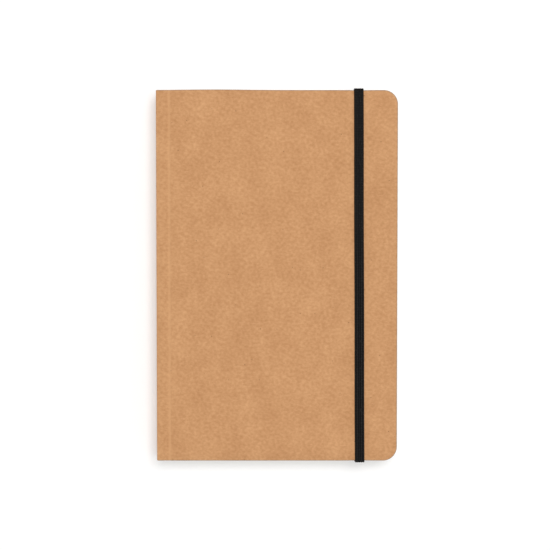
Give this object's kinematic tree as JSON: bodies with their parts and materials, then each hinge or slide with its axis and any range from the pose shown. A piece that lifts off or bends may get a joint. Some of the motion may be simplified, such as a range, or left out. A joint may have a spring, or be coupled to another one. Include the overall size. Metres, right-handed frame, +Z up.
{
  "type": "pocket notebook",
  "caption": "Pocket notebook with a wrap-around kraft board cover, sewn leaves that turn and a flat elastic band that holds it shut.",
  "frame": {"origin": "centre of the underside of the closed notebook, on the surface that it lies on", "axes": "+X from the spine towards the fore-edge, +Y from the tail towards the head, +Z up through the front cover"},
  "size_m": [0.091, 0.1412, 0.011],
  "materials": {
    "kraft_board": "matte",
    "endpaper": "matte",
    "leaf_paper": "matte",
    "linen_thread": "matte",
    "gauze": "matte",
    "binding_glue": "satin",
    "elastic": "matte"
  },
  "bodies": {
    "back_cover": {"back_cover": "kraft_board", "back_pastedown": "endpaper", "elastic_back_ends": "elastic"},
    "text_block": {"spine_cover": "kraft_board", "back_endpaper_fold": "endpaper", "front_endpaper_fold": "endpaper", "section_1_fold": "leaf_paper", "section_2_fold": "leaf_paper", "section_3_fold": "leaf_paper", "section_4_fold": "leaf_paper", "section_5_fold": "leaf_paper", "section_1_thread": "linen_thread", "section_2_thread": "linen_thread", "section_3_thread": "linen_thread", "section_4_thread": "linen_thread", "section_5_thread": "linen_thread", "spine_gauze": "gauze", "spine_glue": "binding_glue"},
    "front_cover": {"front_cover": "kraft_board", "front_pastedown": "endpaper"},
    "back_flyleaf": {"back_flyleaf": "endpaper"},
    "front_flyleaf": {"front_flyleaf": "endpaper"},
    "elastic_band": {"elastic_front_run": "elastic", "elastic_side_runs": "elastic"},
    "section_1_leaves_a": {"section_1_leaves_a": "leaf_paper"},
    "section_1_leaves_b": {"section_1_leaves_b": "leaf_paper"},
    "section_1_leaves_c": {"section_1_leaves_c": "leaf_paper"},
    "section_1_leaves_d": {"section_1_leaves_d": "leaf_paper"},
    "section_2_leaves_a": {"section_2_leaves_a": "leaf_paper"},
    "section_2_leaves_b": {"section_2_leaves_b": "leaf_paper"},
    "section_2_leaves_c": {"section_2_leaves_c": "leaf_paper"},
    "section_2_leaves_d": {"section_2_leaves_d": "leaf_paper"},
    "section_3_leaves_a": {"section_3_leaves_a": "leaf_paper"},
    "section_3_leaves_b": {"section_3_leaves_b": "leaf_paper"},
    "section_3_leaves_c": {"section_3_leaves_c": "leaf_paper"},
    "section_3_leaves_d": {"section_3_leaves_d": "leaf_paper"},
    "section_4_leaves_a": {"section_4_leaves_a": "leaf_paper"},
    "section_4_leaves_b": {"section_4_leaves_b": "leaf_paper"},
    "section_4_leaves_c": {"section_4_leaves_c": "leaf_paper"},
    "section_4_leaves_d": {"section_4_leaves_d": "leaf_paper"},
    "section_5_leaves_a": {"section_5_leaves_a": "leaf_paper"},
    "section_5_leaves_b": {"section_5_leaves_b": "leaf_paper"},
    "section_5_leaves_c": {"section_5_leaves_c": "leaf_paper"},
    "section_5_leaves_d": {"section_5_leaves_d": "leaf_paper"}
  },
  "joints": [
    {"name": "front_cover_hinge", "type": "hinge", "parent": "text_block", "child": "front_cover", "pos_m": [-0.0406, 0, 0.01046], "axis": [0, -1, 0], "range_deg": [0, 180]},
    {"name": "back_cover_hinge", "type": "hinge", "parent": "back_cover", "child": "text_block", "pos_m": [-0.0406, 0, 0.00062], "axis": [0, -1, 0], "range_deg": [0, 7]},
    {"name": "back_flyleaf_turn", "type": "hinge", "parent": "back_cover", "child": "back_flyleaf", "pos_m": [-0.0406, 0, 0.01046], "axis": [0, -1, 0], "range_deg": [0, 0.32]},
    {"name": "section_5_leaves_d_turn", "type": "hinge", "parent": "back_cover", "child": "section_5_leaves_d", "pos_m": [-0.0406, 0, 0.01046], "axis": [0, -1, 0], "range_deg": [0, 0.62]},
    {"name": "section_5_leaves_c_turn", "type": "hinge", "parent": "back_cover", "child": "section_5_leaves_c", "pos_m": [-0.0406, 0, 0.01046], "axis": [0, -1, 0], "range_deg": [0, 0.97]},
    {"name": "section_5_leaves_b_turn", "type": "hinge", "parent": "back_cover", "child": "section_5_leaves_b", "pos_m": [-0.0406, 0, 0.01046], "axis": [0, -1, 0], "range_deg": [0, 1.34]},
    {"name": "section_5_leaves_a_turn", "type": "hinge", "parent": "back_cover", "child": "section_5_leaves_a", "pos_m": [-0.0406, 0, 0.01046], "axis": [0, -1, 0], "range_deg": [0, 1.74]},
    {"name": "section_4_leaves_d_turn", "type": "hinge", "parent": "back_cover", "child": "section_4_leaves_d", "pos_m": [-0.0406, 0, 0.01046], "axis": [0, -1, 0], "range_deg": [0, 2.16]},
    {"name": "section_4_leaves_c_turn", "type": "hinge", "parent": "back_cover", "child": "section_4_leaves_c", "pos_m": [-0.0406, 0, 0.01046], "axis": [0, -1, 0], "range_deg": [0, 2.6]},
    {"name": "section_4_leaves_b_turn", "type": "hinge", "parent": "back_cover", "child": "section_4_leaves_b", "pos_m": [-0.0406, 0, 0.01046], "axis": [0, -1, 0], "range_deg": [0, 3.06]},
    {"name": "section_4_leaves_a_turn", "type": "hinge", "parent": "back_cover", "child": "section_4_leaves_a", "pos_m": [-0.0406, 0, 0.01046], "axis": [0, -1, 0], "range_deg": [0, 3.52]},
    {"name": "section_3_leaves_d_turn", "type": "hinge", "parent": "back_cover", "child": "section_3_leaves_d", "pos_m": [-0.0406, 0, 0.01046], "axis": [0, -1, 0], "range_deg": [0, 4.01]},
    {"name": "section_3_leaves_c_turn", "type": "hinge", "parent": "back_cover", "child": "section_3_leaves_c", "pos_m": [-0.0406, 0, 0.01046], "axis": [0, -1, 0], "range_deg": [0, 4.5]},
    {"name": "section_3_leaves_b_turn", "type": "hinge", "parent": "text_block", "child": "section_3_leaves_b", "pos_m": [-0.0406, 0, 0.01046], "axis": [0, -1, 0], "range_deg": [0, 175.4]},
    {"name": "section_3_leaves_a_turn", "type": "hinge", "parent": "text_block", "child": "section_3_leaves_a", "pos_m": [-0.0406, 0, 0.01046], "axis": [0, -1, 0], "range_deg": [0, 175.82]},
    {"name": "section_2_leaves_d_turn", "type": "hinge", "parent": "text_block", "child": "section_2_leaves_d", "pos_m": [-0.0406, 0, 0.01046], "axis": [0, -1, 0], "range_deg": [0, 176.24]},
    {"name": "section_2_leaves_c_turn", "type": "hinge", "parent": "text_block", "child": "section_2_leaves_c", "pos_m": [-0.0406, 0, 0.01046], "axis": [0, -1, 0], "range_deg": [0, 176.66]},
    {"name": "section_2_leaves_b_turn", "type": "hinge", "parent": "text_block", "child": "section_2_leaves_b", "pos_m": [-0.0406, 0, 0.01046], "axis": [0, -1, 0], "range_deg": [0, 177.08]},
    {"name": "section_2_leaves_a_turn", "type": "hinge", "parent": "text_block", "child": "section_2_leaves_a", "pos_m": [-0.0406, 0, 0.01046], "axis": [0, -1, 0], "range_deg": [0, 177.5]},
    {"name": "section_1_leaves_d_turn", "type": "hinge", "parent": "text_block", "child": "section_1_leaves_d", "pos_m": [-0.0406, 0, 0.01046], "axis": [0, -1, 0], "range_deg": [0, 177.92]},
    {"name": "section_1_leaves_c_turn", "type": "hinge", "parent": "text_block", "child": "section_1_leaves_c", "pos_m": [-0.0406, 0, 0.01046], "axis": [0, -1, 0], "range_deg": [0, 178.34]},
    {"name": "section_1_leaves_b_turn", "type": "hinge", "parent": "text_block", "child": "section_1_leaves_b", "pos_m": [-0.0406, 0, 0.01046], "axis": [0, -1, 0], "range_deg": [0, 178.76]},
    {"name": "section_1_leaves_a_turn", "type": "hinge", "parent": "text_block", "child": "section_1_leaves_a", "pos_m": [-0.0406, 0, 0.01046], "axis": [0, -1, 0], "range_deg": [0, 179.18]},
    {"name": "front_flyleaf_turn", "type": "hinge", "parent": "text_block", "child": "front_flyleaf", "pos_m": [-0.0406, 0, 0.01046], "axis": [0, -1, 0], "range_deg": [0, 179.6]},
    {"name": "elastic_release", "type": "slide", "parent": "back_cover", "child": "elastic_band", "axis": [0.4323, 0, -0.9017], "range_m": [0, 0.01157], "deforming": ["elastic_front_run", "elastic_side_runs"]}
  ],
  "couplings": [
    {"joint": "back_cover_hinge", "follows": "front_cover_hinge", "ratio": 0.038333},
    {"joint": "back_flyleaf_turn", "follows": "front_cover_hinge", "ratio": 0.00122},
    {"joint": "section_5_leaves_d_turn", "follows": "front_cover_hinge", "ratio": 0.002902},
    {"joint": "section_5_leaves_c_turn", "follows": "front_cover_hinge", "ratio": 0.004818},
    {"joint": "section_5_leaves_b_turn", "follows": "front_cover_hinge", "ratio": 0.006903},
    {"joint": "section_5_leaves_a_turn", "follows": "front_cover_hinge", "ratio": 0.009123},
    {"joint": "section_4_leaves_d_turn", "follows": "front_cover_hinge", "ratio": 0.011459},
    {"joint": "section_4_leaves_c_turn", "follows": "front_cover_hinge", "ratio": 0.013894},
    {"joint": "section_4_leaves_b_turn", "follows": "front_cover_hinge", "ratio": 0.016417},
    {"joint": "section_4_leaves_a_turn", "follows": "front_cover_hinge", "ratio": 0.019021},
    {"joint": "section_3_leaves_d_turn", "follows": "front_cover_hinge", "ratio": 0.021699},
    {"joint": "section_3_leaves_c_turn", "follows": "front_cover_hinge", "ratio": 0.024444},
    {"joint": "section_3_leaves_b_turn", "follows": "front_cover_hinge", "ratio": 0.97389},
    {"joint": "section_3_leaves_a_turn", "follows": "front_cover_hinge", "ratio": 0.97622},
    {"joint": "section_2_leaves_d_turn", "follows": "front_cover_hinge", "ratio": 0.97856},
    {"joint": "section_2_leaves_c_turn", "follows": "front_cover_hinge", "ratio": 0.98089},
    {"joint": "section_2_leaves_b_turn", "follows": "front_cover_hinge", "ratio": 0.98322},
    {"joint": "section_2_leaves_a_turn", "follows": "front_cover_hinge", "ratio": 0.98556},
    {"joint": "section_1_leaves_d_turn", "follows": "front_cover_hinge", "ratio": 0.98789},
    {"joint": "section_1_leaves_c_turn", "follows": "front_cover_hinge", "ratio": 0.99022},
    {"joint": "section_1_leaves_b_turn", "follows": "front_cover_hinge", "ratio": 0.99256},
    {"joint": "section_1_leaves_a_turn", "follows": "front_cover_hinge", "ratio": 0.99489},
    {"joint": "front_flyleaf_turn", "follows": "front_cover_hinge", "ratio": 0.99722},
    {"joint": "elastic_release", "follows": "front_cover_hinge", "m_per_rad": 0.003681}
  ]
}
